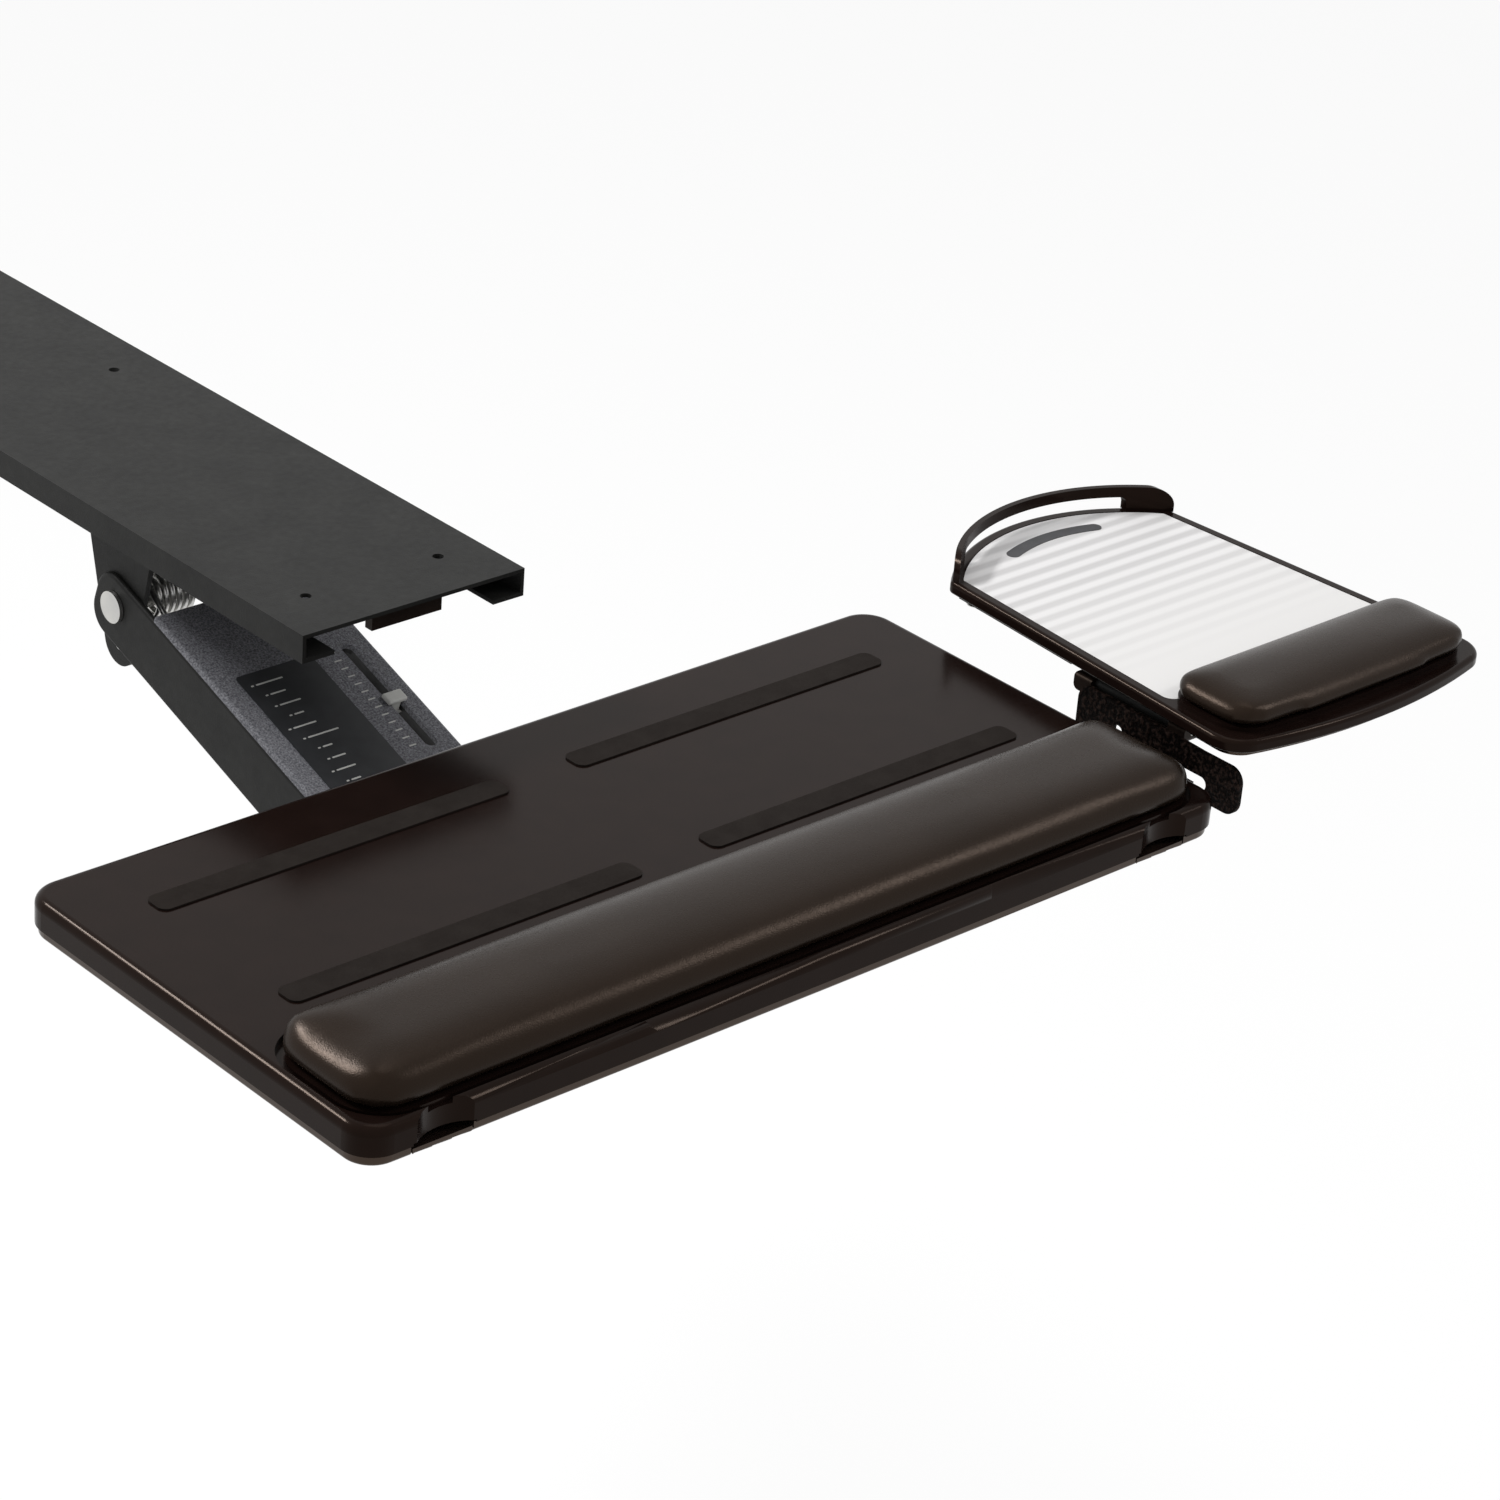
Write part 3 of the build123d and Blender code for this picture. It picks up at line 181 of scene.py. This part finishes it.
def striped_mat():
    """The pale mousing surface: soft stripes along X that fade out towards the padded rest."""
    material, tree, shader, node = new_material("mousing_mat")
    place = node("ShaderNodeTexCoord").outputs["Object"]
    wave = node("ShaderNodeTexWave", wave_type="BANDS", bands_direction="Y", wave_profile="SIN")
    # A wave of scale 1 has ten bands in every pi metres
    wave.inputs["Scale"].default_value = pi / (10 * stripe_pitch)
    wave.inputs["Distortion"].default_value = 0.0
    tree.links.new(place, wave.inputs["Vector"])
    bands = ramp(node, tree, wave.outputs["Fac"], stripe_low, stripe_high, stripe_dark, stripe_light)
    apart = node("ShaderNodeSeparateXYZ")
    tree.links.new(place, apart.inputs["Vector"])
    fade = node("ShaderNodeMapRange")
    fade.inputs["From Min"].default_value = stripes_start
    fade.inputs["From Max"].default_value = stripes_full
    tree.links.new(apart.outputs["Y"], fade.inputs["Value"])
    mix = node("ShaderNodeMix", data_type="RGBA")
    # A colour mix keeps its two colours and its result at these sockets
    first, second, result = mix.inputs[6], mix.inputs[7], mix.outputs[2]
    tree.links.new(fade.outputs["Result"], mix.inputs["Factor"])
    first.default_value = (*plain_mat, 1)
    tree.links.new(bands, second)
    tree.links.new(result, shader.inputs["Base Color"])
    fine = noise(node, tree, place, mat_grain, grain_detail)
    bump(node, tree, shader, [(fine, mat_grain_strength, mat_grain_distance)])
    shader.inputs["Roughness"].default_value = mat_rough
    shader.inputs["Specular IOR Level"].default_value = mat_specular
    return material


moulded = surface(
    "moulded_black", dark=(0.0080, 0.0042, 0.0034), light=(0.0105, 0.0056, 0.0045),
    rough=0.17, spread=0.03, patches=60, grain=[("noise", 2600, 0.06, 0.0002)], specular=0.085)
gloss_black = surface(
    "gloss_black", dark=(0.0100, 0.0062, 0.0050), light=(0.0130, 0.0082, 0.0068),
    rough=0.16, spread=0.03, patches=60, grain=[("noise", 2600, 0.06, 0.0002)], specular=0.55)
satin_black = surface(
    "satin_black", dark=(0.009, 0.006, 0.005), light=(0.015, 0.010, 0.008),
    rough=0.42, spread=0.06, patches=50, grain=[("noise", 1800, 0.15, 0.0003)], specular=0.12)
powder = surface(
    "powder_coat", dark=(0.009, 0.009, 0.0085), light=(0.015, 0.015, 0.014),
    rough=0.5, spread=0.08, patches=40, grain=[("noise", 1400, 0.25, 0.0004)],
    specular=0.15, tint=neutral)
# The wrinkle coat's dark and light colours are painted shade in the hollows and painted highlight on the
# raised grains.
wrinkle = grain_shaded(
    "wrinkle_coat", dark=(0.0015, 0.0008, 0.0006), light=(0.026, 0.016, 0.013),
    low=0.48, high=0.66, rough=0.6, grains_per_metre=480, strength=0.9, distance=0.0012, specular=0.04)
leather = surface(
    "fine_leather", dark=(0.0095, 0.0060, 0.0041), light=(0.0130, 0.0084, 0.0060),
    rough=0.27, spread=0.04, patches=30,
    grain=[("noise", 38, 0.04, 0.0012), ("edge", 1000, 0.18, 0.0004), ("noise", 2400, 0.05, 0.0002)],
    specular=0.17)
# The pebbled cover's dark and light colours are painted shade in the hollows and painted highlight on the
# raised pebbles.
pebble = grain_shaded(
    "pebbled_cover", dark=(0.075, 0.076, 0.086), light=(0.260, 0.261, 0.283),
    low=0.36, high=0.68, rough=0.6, grains_per_metre=1100, strength=0.7, distance=0.0006, specular=0.2)
zinc = surface(
    "zinc_plate", dark=(0.50, 0.50, 0.49), light=(0.62, 0.61, 0.58),
    rough=0.32, spread=0.08, patches=80, grain=[("noise", 900, 0.12, 0.0002)],
    metallic=1.0, tint=neutral)
rubber = surface(
    "grip_rubber", dark=(0.008, 0.0065, 0.006), light=(0.013, 0.011, 0.010),
    rough=0.75, spread=0.08, patches=90, grain=[("noise", 1500, 0.3, 0.0003)], specular=0.1)
pale = surface(
    "pointer_white", dark=(0.52, 0.52, 0.50), light=(0.60, 0.60, 0.57),
    rough=0.45, spread=0.06, patches=200, grain=[("noise", 2000, 0.1, 0.0001)], tint=neutral)
smooth_grey = surface(
    "smooth_label", dark=(0.022, 0.023, 0.025), light=(0.030, 0.031, 0.034),
    rough=0.4, spread=0.05, patches=100, grain=[("noise", 2500, 0.1, 0.0001)], tint=neutral)
badge_grey = surface(
    "badge_grey", dark=(0.045, 0.045, 0.048), light=(0.062, 0.062, 0.066),
    rough=0.45, spread=0.05, patches=150, grain=[("noise", 2500, 0.1, 0.0001)], tint=neutral)
light_mat = striped_mat()

finishes = {
    moulded: "tray_shell palm_rest_base mouse_rest_base platform_top mouse_fence",
    gloss_black: "tray_pan finger_lever_left finger_lever_right platform_base",
    satin_black: "track_stops track_glides swivel_bearing tilt_spacer brake_shoe_left brake_shoe_right "
                 "slide_lock_knob hinge_block",
    powder: "track_channel base_yoke arm_channel lower_link head_bracket tray_bracket tilt_plate",
    wrinkle: "mouse_bracket",
    leather: "palm_rest_cushion mouse_rest_cushion",
    pebble: "arm_cover",
    zinc: "carriage_plate swivel_post swivel_nut rear_arm_pin rear_link_pin lift_springs front_arm_pin "
          "front_link_pin tilt_pin pan_screws bracket_screws lever_pins release_rod_left release_rod_right "
          "hinge_pin platform_post platform_screws",
    rubber: "grip_strips",
    pale: "gauge_pointer",
    smooth_grey: "cover_label",
    badge_grey: "surface_badge",
    light_mat: "mousing_surface",
}
for material, names in finishes.items():
    for name in names.split():
        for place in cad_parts[name].material_slots:
            place.material = material


def evaluated(obj):
    """The object's mesh with its modifiers applied."""
    graph = bpy.context.evaluated_depsgraph_get()
    return bpy.data.meshes.new_from_object(obj.evaluated_get(graph))


def add_object(name, mesh, material):
    """A new object in the scene with one material."""
    made = bpy.data.objects.new(name, mesh)
    bpy.context.scene.collection.objects.link(made)
    mesh.materials.clear()
    mesh.materials.append(material)
    return made


# Padded rests: lengths in metres

start_inset = 0.0006
blown_limit = 0.0009
inset_full_height = 0.006
held_height = 0.003
held_extra = 0.3
first_smoothing = 6
last_smoothing = 10
last_smoothing_share = 0.5
cloth_steps = 20
cloth_quality = 6
cloth_mass = 0.3
cloth_stretch = 25
cloth_shear = 10
cloth_bend = 2
padding_pressure = 4


def blow_up(piece, mesh):
    """Moves the mesh to where a pressed cloth over its held base settles, within blown_limit."""
    start = [v.co.copy() for v in mesh.vertices]
    cloth = piece.modifiers.new("cloth", "CLOTH")
    cloth.settings.quality = cloth_quality
    cloth.settings.mass = cloth_mass
    cloth.settings.tension_stiffness = cloth_stretch
    cloth.settings.compression_stiffness = cloth_stretch
    cloth.settings.shear_stiffness = cloth_shear
    cloth.settings.bending_stiffness = cloth_bend
    cloth.settings.use_pressure = True
    cloth.settings.uniform_pressure_force = padding_pressure
    cloth.settings.vertex_group_mass = "held"
    cloth.settings.effector_weights.gravity = 0
    for step in range(1, cloth_steps + 1):
        bpy.context.scene.frame_set(step)
    blown = evaluated(piece)
    piece.modifiers.clear()
    for vertex, first, last in zip(mesh.vertices, start, blown.vertices):
        move = last.co - first
        if move.length > blown_limit:
            move *= blown_limit / move.length
        vertex.co = first + move
    bpy.context.scene.frame_set(1)


def cushion(name, node_name, voxel):
    """A padded rest: the CAD solid's form, drawn in a little and blown up over a held base."""
    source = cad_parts[node_name]
    mesh = source.data.copy()
    mesh.transform(source.matrix_world)
    piece = add_object(name, mesh, leather)
    remesh = piece.modifiers.new("remesh", "REMESH")
    remesh.mode = "VOXEL"
    remesh.voxel_size = voxel
    smooth = piece.modifiers.new("smooth", "SMOOTH")
    smooth.iterations = first_smoothing
    mesh = evaluated(piece)
    piece.modifiers.clear()
    piece.data = mesh
    low = min(v.co.z for v in mesh.vertices)
    for vertex in mesh.vertices:
        vertex.co -= vertex.normal * start_inset * min(1.0, (vertex.co.z - low) / inset_full_height)
    held = piece.vertex_groups.new(name="held")
    for vertex in mesh.vertices:
        share = 1.0 - (vertex.co.z - low) / held_height
        if share > 0:
            held.add([vertex.index], min(1.0, share + held_extra), "REPLACE")
    blow_up(piece, mesh)
    for polygon in mesh.polygons:
        polygon.use_smooth = True
    ease = piece.modifiers.new("ease", "SMOOTH")
    ease.iterations = last_smoothing
    ease.factor = last_smoothing_share
    finish = piece.modifiers.new("subdivision", "SUBSURF")
    finish.levels = 1
    finish.render_levels = 1
    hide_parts(node_name)
    return piece


rest = cushion("keyboard_rest_padding", "palm_rest_cushion", voxel=0.004)
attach(rest, "tray")
pad = cushion("mouse_rest_padding", "mouse_rest_cushion", voxel=0.003)
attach(pad, "platform")


# Print on the arm's cover: lengths in metres, in the cover's own plane

print_thickness = 0.00006
round_steps = 6


def printed(name, body, material, bars, top, place):
    """Flat printed bars with round ends, (x, y, length, width) each, on a face at height top."""
    mesh = bpy.data.meshes.new(name)
    build = bmesh.new()
    for x, y, length, width in bars:
        radius = width / 2
        rim = []
        for end, start in ((x + length - radius, -pi / 2), (x + radius, pi / 2)):
            for k in range(round_steps + 1):
                angle = start + pi * k / round_steps
                rim.append((end + radius * cos(angle), y + radius * sin(angle)))
        low = [build.verts.new((u, v, top)) for u, v in rim]
        high = [build.verts.new((u, v, top + print_thickness)) for u, v in rim]
        build.faces.new(high)
        build.faces.new(list(reversed(low)))
        for k in range(len(rim)):
            after = (k + 1) % len(rim)
            build.faces.new((low[k], low[after], high[after], high[k]))
    build.to_mesh(mesh)
    build.free()
    mesh.transform(place)
    made = add_object(name, mesh, material)
    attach(made, body)
    return made


arm_pivot = (0, -0.32397, -0.12858)
arm_lean = radians(18.6)
arm_place = Matrix.Translation(arm_pivot) @ Matrix.Rotation(arm_lean, 4, "X")
cover_top = 0.018
label_top = 0.0184

label_left = -0.029
label_first_line = 0.128
line_pitch = 0.0078
line_indent = 0.003
line_width = 0.0009
line_dot = 0.0016
line_gap = 0.0028
line_unit = 0.0011
# Each line's indent and its length in units
label_rows = ((0, 14), (1, 8), (1, 11), (2, 5), (0, 12), (1, 16), (2, 5), (2, 7), (1, 10), (2, 5))
lines = []
for k, (indent, units) in enumerate(label_rows):
    left = label_left + line_indent * indent
    y = label_first_line - line_pitch * k
    lines.append((left, y, line_dot, line_width))
    lines.append((left + line_gap, y, line_unit * units, line_width))
printed("label_lines", "arm", pale, lines, label_top, arm_place)

mark_left = 0.0195
first_mark = 0.066
mark_pitch = 0.0056
mark_length = 0.0042
mark_width = 0.0008
mark_count = 13
marks = [(mark_left, first_mark + mark_pitch * k, mark_length, mark_width) for k in range(mark_count)]
printed("gauge_marks", "arm", pale, marks, cover_top, arm_place)


# Studio: lengths in metres, lamp powers in watts

def straight_ray(tree):
    """One for camera, glossy and transmission rays, else zero."""
    path = tree.nodes.new("ShaderNodeLightPath")
    last = path.outputs["Is Camera Ray"]
    for kind in ("Is Glossy Ray", "Is Transmission Ray"):
        either = tree.nodes.new("ShaderNodeMath")
        either.operation = "MAXIMUM"
        tree.links.new(last, either.inputs[0])
        tree.links.new(path.outputs[kind], either.inputs[1])
        last = either.outputs[0]
    return last


def mixed(tree, other_rays, straight_rays, surface_socket):
    """Gives the surface one shader for straight rays and another for all other rays."""
    mix = tree.nodes.new("ShaderNodeMixShader")
    tree.links.new(straight_ray(tree), mix.inputs["Fac"])
    tree.links.new(other_rays.outputs[0], mix.inputs[1])
    tree.links.new(straight_rays.outputs[0], mix.inputs[2])
    tree.links.new(mix.outputs[0], surface_socket)


def grey(value):
    """An opaque grey."""
    return (value, value, value, 1)


floor_reach = 40.0
floor_level = -0.72
floor_plain = 0.75
floor_lit = 0.16
floor_glow = 0.86


def floor():
    """The plain pale floor under the object; straight rays see it almost white, with its shadow."""
    r, z = floor_reach, floor_level
    mesh = bpy.data.meshes.new("floor")
    mesh.from_pydata([(-r, -r, z), (r, -r, z), (r, r, z), (-r, r, z)], [], [(0, 1, 2, 3)])
    material = bpy.data.materials.new("floor_white")
    material.use_nodes = True
    tree = material.node_tree
    tree.nodes.remove(tree.nodes["Principled BSDF"])
    plain = tree.nodes.new("ShaderNodeBsdfDiffuse")
    plain.inputs["Color"].default_value = grey(floor_plain)
    lit = tree.nodes.new("ShaderNodeBsdfDiffuse")
    lit.inputs["Color"].default_value = grey(floor_lit)
    glow = tree.nodes.new("ShaderNodeEmission")
    glow.inputs["Color"].default_value = grey(floor_glow)
    both = tree.nodes.new("ShaderNodeAddShader")
    tree.links.new(lit.outputs[0], both.inputs[0])
    tree.links.new(glow.outputs[0], both.inputs[1])
    mixed(tree, plain, both, tree.nodes["Material Output"].inputs["Surface"])
    add_object("floor", mesh, material)


room_grey = 0.5
seen_white = 1.0


def surroundings():
    """A grey room that straight rays see as white."""
    world = bpy.data.worlds.new("surroundings")
    bpy.context.scene.world = world
    world.use_nodes = True
    tree = world.node_tree
    room = tree.nodes["Background"]
    room.inputs["Color"].default_value = grey(room_grey)
    room.inputs["Strength"].default_value = 1.0
    seen = tree.nodes.new("ShaderNodeBackground")
    seen.inputs["Color"].default_value = grey(seen_white)
    seen.inputs["Strength"].default_value = 1.0
    mixed(tree, room, seen, tree.nodes["World Output"].inputs["Surface"])


lamp_aim = Vector((0.05, -0.45, -0.06))


def lamp(name, way, distance, size, power):
    """A rectangular lamp at a distance along a way from the aim, facing the aim."""
    data = bpy.data.lights.new(name, "AREA")
    data.shape = "RECTANGLE"
    data.size, data.size_y = size
    data.energy = power
    made = bpy.data.objects.new(name, data)
    bpy.context.scene.collection.objects.link(made)
    made.location = lamp_aim + distance * Vector(way).normalized()
    made.rotation_euler = (lamp_aim - made.location).to_track_quat("-Z", "Y").to_euler()


# The camera: sensor and lens in mm, place in metres, and its three axes
sensor_width = 36.0
lens_length = 107.863
farthest_seen = 100
camera_place = Vector((-1.15589, -1.71655, 0.88664))
camera_right = Vector((0.74313826, -0.66548429, 0.06982975))
camera_up = Vector((0.26192415, 0.3853328, 0.88482449))
camera_ahead = Vector((0.61574449, 0.63925683, -0.46066195))


def camera():
    """The camera that the picture is taken with."""
    data = bpy.data.cameras.new("camera")
    data.sensor_width = sensor_width
    data.lens = lens_length
    data.clip_end = farthest_seen
    made = bpy.data.objects.new("camera", data)
    bpy.context.scene.collection.objects.link(made)
    turned = Matrix((camera_right, camera_up, -camera_ahead)).transposed().to_4x4()
    made.matrix_world = Matrix.Translation(camera_place) @ turned
    bpy.context.scene.camera = made


floor()
surroundings()
lamp("key", way=(-0.38, 0.64, 0.64), distance=2.2, size=(0.8, 0.25), power=32)
lamp("fill", way=(0.616, -0.439, 0.617), distance=2.2, size=(0.4, 0.4), power=7)
lamp("top", way=(0.15, 0.05, 1.0), distance=2.0, size=(1.2, 0.8), power=4)
camera()
bpy.context.scene.view_settings.view_transform = "Standard"
